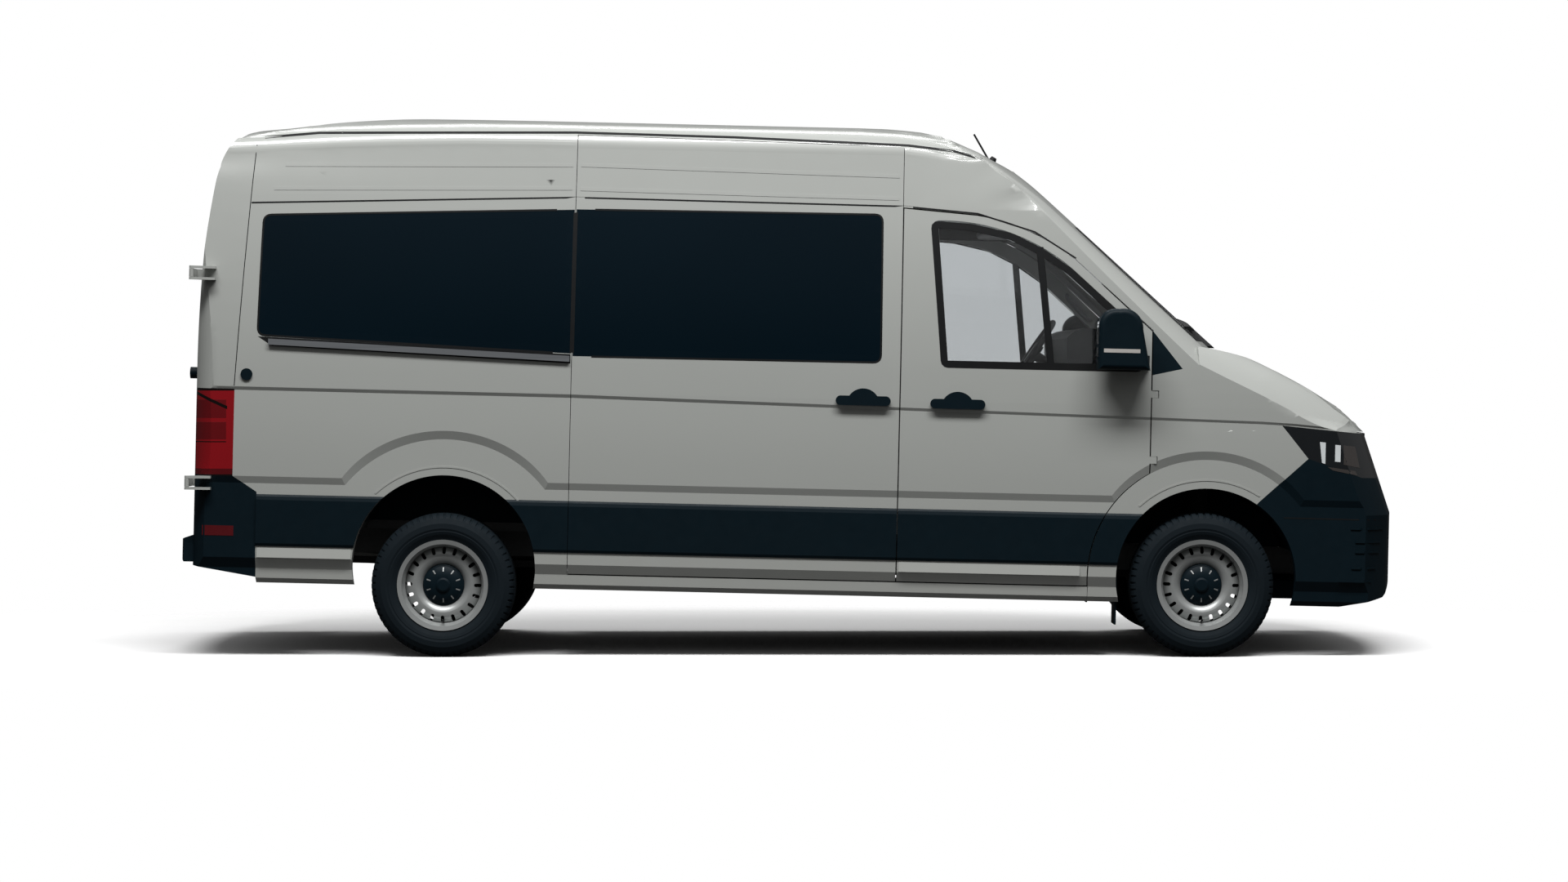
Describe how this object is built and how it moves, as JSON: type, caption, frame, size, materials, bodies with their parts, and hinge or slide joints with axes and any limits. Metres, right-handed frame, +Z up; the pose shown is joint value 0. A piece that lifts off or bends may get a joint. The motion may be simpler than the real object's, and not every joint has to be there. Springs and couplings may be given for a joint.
{
  "type": "glazed panel van",
  "caption": "High-roof glazed panel van with hinged doors and bonnet, steered front wheels and four vented steel wheels",
  "frame": {"origin": "on the ground under the middle of the van's overall box", "axes": "+X forward, +Y to the van's left, +Z up"},
  "size_m": [5.9925, 2.42, 2.6288],
  "materials": {
    "body_paint": "gloss",
    "clear_glass": "clear",
    "tinted_glass": "dark tint",
    "tyre_rubber": "matt",
    "wheel_steel": "silver",
    "lamp_cover": "clear over dark",
    "tail_lamp_red": "gloss",
    "bright_rail": "satin",
    "seat_cloth": "woven",
    "dark_interior": "matt",
    "dark_steel": "matt",
    "chassis_iron": "rough",
    "black_plastic": "satin"
  },
  "bodies": {
    "van": {"aerial": "black_plastic", "body_trim": "black_plastic", "bulkhead": "dark_steel", "dashboard": "dark_interior", "door_frames": "body_paint", "door_track": "bright_rail", "engine": "chassis_iron", "exhaust": "chassis_iron", "front_bumper": "black_plastic", "front_suspension": "chassis_iron", "front_wings": "body_paint", "fuel_tank": "black_plastic", "grille": "black_plastic", "headlamps": "lamp_cover", "quarter_panel_right": "body_paint", "rear_axle": "chassis_iron", "rear_bumper": "black_plastic", "rear_frame": "body_paint", "roof": "body_paint", "seats": "seat_cloth", "side_panel_left": "body_paint", "side_windows": "tinted_glass", "sliding_door": "body_paint", "sliding_door_glass": "tinted_glass", "sliding_door_trim": "black_plastic", "tail_lamps": "tail_lamp_red", "underbody": "dark_steel", "wheel_liners": "black_plastic", "windscreen": "clear_glass", "windscreen_frame": "body_paint", "wipers": "black_plastic"},
    "wheel_front_left": {"tyre_front_left": "tyre_rubber", "rim_front_left": "wheel_steel", "wheel_cap_front_left": "black_plastic"},
    "wheel_front_right": {"tyre_front_right": "tyre_rubber", "rim_front_right": "wheel_steel", "wheel_cap_front_right": "black_plastic"},
    "wheel_rear_left": {"tyre_rear_left": "tyre_rubber", "rim_rear_left": "wheel_steel", "wheel_cap_rear_left": "black_plastic"},
    "wheel_rear_right": {"tyre_rear_right": "tyre_rubber", "rim_rear_right": "wheel_steel", "wheel_cap_rear_right": "black_plastic"},
    "knuckle_body_left": {"knuckle_left": "chassis_iron"},
    "knuckle_body_right": {"knuckle_right": "chassis_iron"},
    "bonnet_lid": {"bonnet": "body_paint"},
    "steering": {"steering_wheel": "dark_interior"},
    "front_door_body_left": {"front_door_left": "body_paint", "front_door_glass_left": "clear_glass", "front_door_trim_left": "black_plastic"},
    "rear_door_body_left": {"rear_door_left": "body_paint", "rear_door_glass_left": "tinted_glass", "rear_door_trim_left": "black_plastic"},
    "front_door_body_right": {"front_door_right": "body_paint", "front_door_glass_right": "clear_glass", "front_door_trim_right": "black_plastic"},
    "rear_door_body_right": {"rear_door_right": "body_paint", "rear_door_glass_right": "tinted_glass", "rear_door_trim_right": "black_plastic"}
  },
  "joints": [
    {"name": "steer_left", "type": "hinge", "parent": "van", "child": "knuckle_body_left", "pos_m": [1.9879, 0.81, 0.345], "axis": [0.0227, 0, 0.9997], "range_deg": [-35, 35]},
    {"name": "wheel_front_left_spin", "type": "hinge", "parent": "knuckle_body_left", "child": "wheel_front_left", "pos_m": [1.9879, 0.87, 0.345], "axis": [0, 1, 0], "continuous": true},
    {"name": "wheel_rear_left_spin", "type": "hinge", "parent": "van", "child": "wheel_rear_left", "pos_m": [-1.6521, 0.87, 0.345], "axis": [0, 1, 0], "continuous": true},
    {"name": "front_door_left_hinge", "type": "hinge", "parent": "van", "child": "front_door_body_left", "pos_m": [1.76449, 1.01, 1.10005], "axis": [-0.0227, 0, -0.9997], "range_deg": [0, 70]},
    {"name": "rear_door_left_hinge", "type": "hinge", "parent": "van", "child": "rear_door_body_left", "pos_m": [-2.85124, 1.066, 1.34083], "axis": [-0.0227, 0, -0.9997], "range_deg": [0, 270]},
    {"name": "steer_right", "type": "hinge", "parent": "van", "child": "knuckle_body_right", "pos_m": [1.9879, -0.81, 0.345], "axis": [0.0227, 0, 0.9997], "range_deg": [-35, 35]},
    {"name": "wheel_front_right_spin", "type": "hinge", "parent": "knuckle_body_right", "child": "wheel_front_right", "pos_m": [1.9879, -0.87, 0.345], "axis": [0, 1, 0], "continuous": true},
    {"name": "wheel_rear_right_spin", "type": "hinge", "parent": "van", "child": "wheel_rear_right", "pos_m": [-1.6521, -0.87, 0.345], "axis": [0, 1, 0], "continuous": true},
    {"name": "front_door_right_hinge", "type": "hinge", "parent": "van", "child": "front_door_body_right", "pos_m": [1.76449, -1.01, 1.10005], "axis": [0.0227, 0, 0.9997], "range_deg": [0, 70]},
    {"name": "rear_door_right_hinge", "type": "hinge", "parent": "van", "child": "rear_door_body_right", "pos_m": [-2.85124, -1.066, 1.34083], "axis": [0.0227, 0, 0.9997], "range_deg": [0, 270]},
    {"name": "bonnet_hinge", "type": "hinge", "parent": "van", "child": "bonnet_lid", "pos_m": [2.14753, 0, 1.40644], "axis": [0, -1, 0], "range_deg": [0, 55]},
    {"name": "steering_wheel_turn", "type": "hinge", "parent": "van", "child": "steering", "pos_m": [1.26556, 0.45, 1.46146], "axis": [-0.8261, 0, 0.5635], "range_deg": [-490, 490]}
  ],
  "couplings": [
    {"joint": "steer_right", "follows": "steer_left", "ratio": 1},
    {"joint": "steering_wheel_turn", "follows": "steer_left", "ratio": 14}
  ]
}
